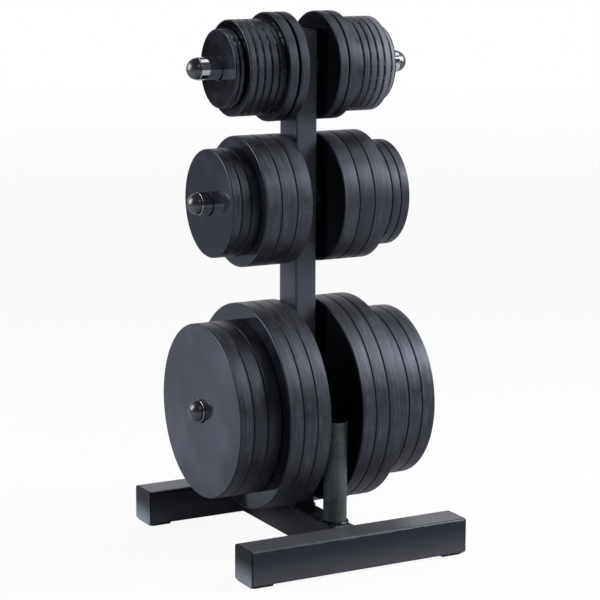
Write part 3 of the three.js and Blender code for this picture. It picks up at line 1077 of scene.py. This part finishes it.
@dataclass
class PegTier(Part):
    """One tier: the chromed tube through the upright and the domed cap in each of its ends."""

    tier: Tier
    wall: float = 3.2 * MM
    edge: float = 1.1 * MM
    segments: int = 112
    plug: float = 16.0 * MM
    plug_face: float = 3.0 * MM
    plug_grip: float = 0.65 * MM
    collar: float = 3.0 * MM
    dome_radii: tuple = (1.0, 0.8, 0.2, 0.5, 1.0)
    dome_arc: tuple = (7, 88)
    dome_rows: int = 30
    dome_segments: int = 96
    collar_wear: float = 0.5

    def build(self) -> None:
        """Builds the tube and both domes."""
        tier = self.tier.value
        node = f"{tier}_peg_tube"
        low, high, middle = box(node)
        outline = Outline.circle((high[2] - low[2]) / 2, self.segments)
        profile = Profile.tube(high[0] - low[0], self.wall, self.edge, steps=6)
        shell = skin(profile, outline, Along.X, np.array([low[0], middle[1], middle[2]]))
        self.builder.add(f"{tier}_peg", shell, CHROME, nodes=(node,))
        for side in Side:
            self.dome(f"{tier}_{side.word()}_peg_dome", side.value)

    def dome(self, node: str, way: int) -> None:
        """A plug, a rounded shoulder, then half an ellipsoid: s = seat + h sin q, d = R (1 - cos q).

        Args:
            node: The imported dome.
            way: 1 for the right end of the peg, -1 for the left one.
        """
        low, high, middle = box(node)
        radius = (high[2] - low[2]) / 2
        height = high[0] - low[0] - self.plug - SEAT
        peg_end = (low[0] + self.plug) if way > 0 else (high[0] - self.plug)
        inset = self.wall - self.plug_grip
        corners = np.array([
            [-self.plug, inset + self.plug_face], [-self.plug, inset], [SEAT, inset], [SEAT, 0],
            [self.collar, 0]])
        collar = Profile.bent(corners, np.array(self.dome_radii) * MM, steps=4, closed=False, rest=0.1 * MM)
        rise = np.radians(np.linspace(*self.dome_arc, self.dome_rows))
        cap = np.column_stack([SEAT + height * np.sin(rise), radius * (1 - np.cos(rise))])
        # The dome goes on from the end of the collar's last arc.
        weight = np.append(collar.weight[:-2] * self.collar_wear, np.zeros(len(cap)))
        profile = Profile(np.vstack([collar.points[:-2], cap]), weight)
        crown = way * height * (1 - math.sin(rise[-1]))
        origin = np.array([peg_end, middle[1], middle[2]])
        outline = Outline.circle(radius, self.dome_segments)
        shell = skin(profile.turned(way), outline, Along.X, origin, solid=True, crown=crown)
        self.builder.add(node.replace("_peg_dome", "_dome_cap"), shell, DOME_PLASTIC, nodes=(node,))


# How pale the rims of each stack are, from the upright outwards: partly real differences between plates,
# and partly painted light and shade, darker on rims beside a larger plate and on the left stacks.
PLATE_WEAR_AND_LIGHTING = {
    "top_left_10lb": (0.16, 0.16), "top_right_10lb": (0.22, 0.34),
    "top_left_5lb": (0.04, 0.05, 0.08, 0.16, 0.22), "top_right_5lb": (0.30, 0.34, 0.60, 1.20, 1.70),
    "top_left_2_5lb": (1.35, 1.15), "top_right_2_5lb": (2.1, 2.3),
    "middle_left_25lb": (0.34, 0.32, 0.32), "middle_right_25lb": (0.28, 0.12, 0.26),
    "middle_left_10lb": (0.05, 0.12, 0.30), "middle_right_10lb": (0.30, 0.12, 0.16),
    "bottom_left_45lb": (0.38, 0.34, 0.34), "bottom_right_45lb": (0.34, 0.34, 0.34),
    "bottom_left_35lb": (0.08, 0.22, 0.36), "bottom_right_35lb": (0.36, 0.36, 0.40),
}


@dataclass
class Plate(Part):
    """A weight plate: flat faces, a slightly crowned rim between two round edges, and a broken bore."""

    node: str
    bore: float = 51.5 * MM / 2
    edge: float = 2.3 * MM
    edge_share: float = 0.2
    bore_edge: float = 0.9 * MM
    crown: float = 0.25 * MM
    crown_radius: float = 320.0 * MM
    crown_share: float = 0.45
    steps: int = 5
    segments: int = 128
    large_segments: int = 160
    large_from: float = 0.17

    def build(self) -> None:
        """Carries the plate's closed profile round its axis."""
        low, high, middle = box(self.node)
        radius = max(high[1] - low[1], high[2] - low[2]) / 2
        thickness = high[0] - low[0]
        depth = radius - self.bore
        edge = min(self.edge, self.edge_share * thickness)
        corners = np.array([
            [0, self.crown], [thickness / 2, 0], [thickness, self.crown], [thickness, depth], [0, depth]])
        bend = min(self.crown_radius, self.crown_share * thickness ** 2 / self.crown / 2)
        radii = np.array([edge, bend, edge, self.bore_edge, self.bore_edge])
        profile = Profile.bent(corners, radii, self.steps, closed=True, rest=0.4 * MM)
        corner_rows = self.steps + 3
        profile.weight[corner_rows:2 * corner_rows] = 0  # the crown is a corner, but no edge
        segments = self.large_segments if radius > self.large_from else self.segments
        shell = skin(profile, Outline.circle(radius, segments), Along.X,
                     np.array([low[0], middle[1], middle[2]]))
        stack, _, number = self.node.partition("_plate_")
        wear_and_lighting = PLATE_WEAR_AND_LIGHTING[stack][int(number) - 1]
        self.builder.add(self.node.replace("plate", "disc"), shell, PLATE_SKIN, self.node, (self.node,), wear_and_lighting)


def direction(azimuth: float, elevation: float) -> Vector:
    """Unit vector at an azimuth from -Y towards +X and an elevation above the horizon, in degrees."""
    turn, tilt = math.radians(azimuth), math.radians(elevation)
    return Vector((math.sin(turn) * math.cos(tilt), -math.cos(turn) * math.cos(tilt), math.sin(tilt)))


@dataclass
class Studio:
    """Camera, floor, surroundings and lamps."""

    camera_place: tuple = (-2.1656, -3.9639, 1.4050)
    azimuth: float = -28.59
    elevation: float = 11.01
    roll: float = 0.25
    lens: float = 126.75
    sensor: float = 36.0
    shift: tuple = (0.0077, 0.0072)
    clip: tuple = (0.05, 200.0)
    floor_half: float = 30.0
    floor_color: tuple = (0.55, 0.55, 0.57, 1)
    floor_seen: tuple = (0.98, 0.98, 0.99, 1)
    floor_beyond: tuple = (0.12, 0.12, 0.13, 1)
    floor_glow: float = 0.93
    floor_mirrored: float = 0.56
    floor_mirror_tint: tuple = (0.80, 0.85, 1.0, 1)
    paper_end: tuple = ((0.0, 0.0, 0.0), (3.0, 12.0))
    front_spot: tuple = ((0.2, -0.8, 0.0), (0.8, 1.4))
    under_spot: tuple = ((0.10, 0.05, 0.0), (0.25, 0.52))
    under_dim: float = 0.90
    rear_from: tuple = (-0.3, 0.7)
    rear_dim: float = 0.46
    room: tuple = (0.085, 0.09, 0.10, 1)
    backdrop: tuple = (0.94, 0.96, 1.0, 1)
    backdrop_spread: tuple = (0.50, 0.80)
    backdrop_top: tuple = (0.34, 0.54)
    aim: tuple = (0.0, 0.0, 0.6)
    lamp_color: tuple = (0.92, 0.95, 1.0)
    lamps: tuple = (
        ("right_panel", 61.0, 28.0, 2.6, 1.4, 68.0),
        ("left_panel", -118.0, 20.0, 3.0, 1.8, 55.0),
        ("top_panel", 85.0, 64.0, 2.2, 1.1, 5.0),
        ("front_panel", -6.0, 40.0, 4.2, 0.9, 7.0),
    )

    def camera(self) -> None:
        """Sets the camera from its place, azimuth, elevation and roll."""
        roll = math.radians(self.roll)
        back, level = direction(self.azimuth, self.elevation), direction(self.azimuth + 90, 0)
        right = level * math.cos(roll) + back.cross(level) * math.sin(roll)
        data = bpy.data.cameras.new("photo_camera")
        data.lens, data.sensor_width = self.lens, self.sensor
        data.shift_x, data.shift_y = self.shift
        data.clip_start, data.clip_end = self.clip
        camera = linked("photo_camera", data)
        turned = Matrix((right, back.cross(right), back)).transposed()
        camera.matrix_world = Matrix.Translation(self.camera_place) @ turned.to_4x4()
        bpy.context.scene.camera = camera

    def floor(self) -> None:
        """A pale plane that glows white to the eye and still keeps the object's shadow.

        In reflections it glows less and bluer, as lit paper does. That glow is dimmed towards the rear and
        under the object, left out on a spot in front, and gives way to a dark room where the paper ends.
        """
        mesh = bpy.data.meshes.new("studio_floor")
        signs = ((-1, -1), (1, -1), (1, 1), (-1, 1))
        corners = [(x * self.floor_half, y * self.floor_half, 0) for x, y in signs]
        mesh.from_pydata(corners, [], [(0, 1, 2, 3)])
        piece = linked("studio_floor", mesh)
        material = bpy.data.materials.new("floor_paper")
        graph = Graph(material)
        place = graph.place()
        beyond, off_front, off_under = (
            graph.vector("DISTANCE", place, point, "Value").between(*reach)
            for point, reach in (self.paper_end, self.front_spot, self.under_spot))
        camera, glossy, through = (
            graph.add("LightPath", output=f"Is {kind} Ray")
            for kind in ("Camera", "Glossy", "Transmission"))
        paper = graph.blend(camera, graph.blend(beyond, self.floor_color, self.floor_beyond), self.floor_seen)
        pale = graph.add("BsdfDiffuse", None, {"Color": paper})
        glow = graph.blend(camera, self.floor_mirror_tint, WHITE)
        white = graph.add("Emission", None, {"Color": glow, "Strength": 1.0})
        seen = camera * (self.floor_glow + beyond * (1 - self.floor_glow))
        rear = 1 - graph.part(place, "Y").between(*self.rear_from) * self.rear_dim
        under = 1 - (1 - off_under) * self.under_dim
        mirrored = glossy.larger(through) * off_front * rear * under * (1 - beyond) * self.floor_mirrored
        mixed = graph.add("MixShader", None, {0: seen.larger(mirrored), 1: pale, 2: white})
        graph.add("OutputMaterial", None, {"Surface": mixed})
        mesh.materials.append(material)

    def world(self) -> None:
        """A dim room with a white backdrop behind the object; white wherever the camera sees it.

        The backdrop is where the direction's cosine with the camera's line of sight passes its spread, and
        it ends at a height.
        """
        world = bpy.data.worlds.new("studio_world")
        bpy.context.scene.world = world
        graph = Graph(world)
        looking = graph.add("TexCoord", output="Generated")
        cosine = graph.vector("DOT_PRODUCT", looking, direction(self.azimuth + 180, 0), "Value")
        low = 1 - graph.part(looking, "Z").between(*self.backdrop_top)
        glow = graph.blend(cosine.between(*self.backdrop_spread) * low, self.room, self.backdrop)
        camera = graph.add("LightPath", output="Is Camera Ray")
        color = graph.blend(camera, glow, WHITE)
        sky = graph.add("Background", None, {"Color": color, "Strength": 1.0})
        graph.add("OutputWorld", None, {"Surface": sky})

    def lamp(self, name: str, azimuth: float, elevation: float, distance: float, size: float,
             power: float) -> None:
        """A square soft panel that faces the middle of the object.

        Args:
            name: Name of the lamp.
            azimuth: Angle from -Y towards +X, in degrees.
            elevation: Angle above the horizon, in degrees.
            distance: Distance from the middle of the object.
            size: Side of the panel.
            power: Power in watts.
        """
        way = direction(azimuth, elevation)
        data = bpy.data.lights.new(name, "AREA")
        data.shape, data.size, data.energy, data.color = "SQUARE", size, power, self.lamp_color
        lamp = linked(name, data)
        lamp.location = Vector(self.aim) + way * distance
        lamp.visible_camera = False
        lamp.rotation_mode = "QUATERNION"
        lamp.rotation_quaternion = way.to_track_quat("Z", "Y")

    def build(self) -> None:
        """Sets up the whole studio and the plain view transform."""
        self.camera()
        self.floor()
        self.world()
        for lamp in self.lamps:
            self.lamp(*lamp)
        bpy.context.scene.view_settings.view_transform = "Standard"
        log.info("studio: camera, floor, world and %d lamps", len(self.lamps))


def main() -> None:
    """Builds the studio and every piece."""
    logging.basicConfig(level=logging.INFO, format="%(name)s %(message)s")
    Studio().build()
    builder = Builder()
    Base(builder).build()
    Upright(builder).build()
    BarHolder(builder).build()
    for tier in Tier:
        PegTier(builder, tier).build()
    for node in sorted(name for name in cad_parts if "_plate_" in name):
        Plate(builder, node).build()
    log.info("%d pieces", builder.count)


if __name__ == "__main__":
    main()
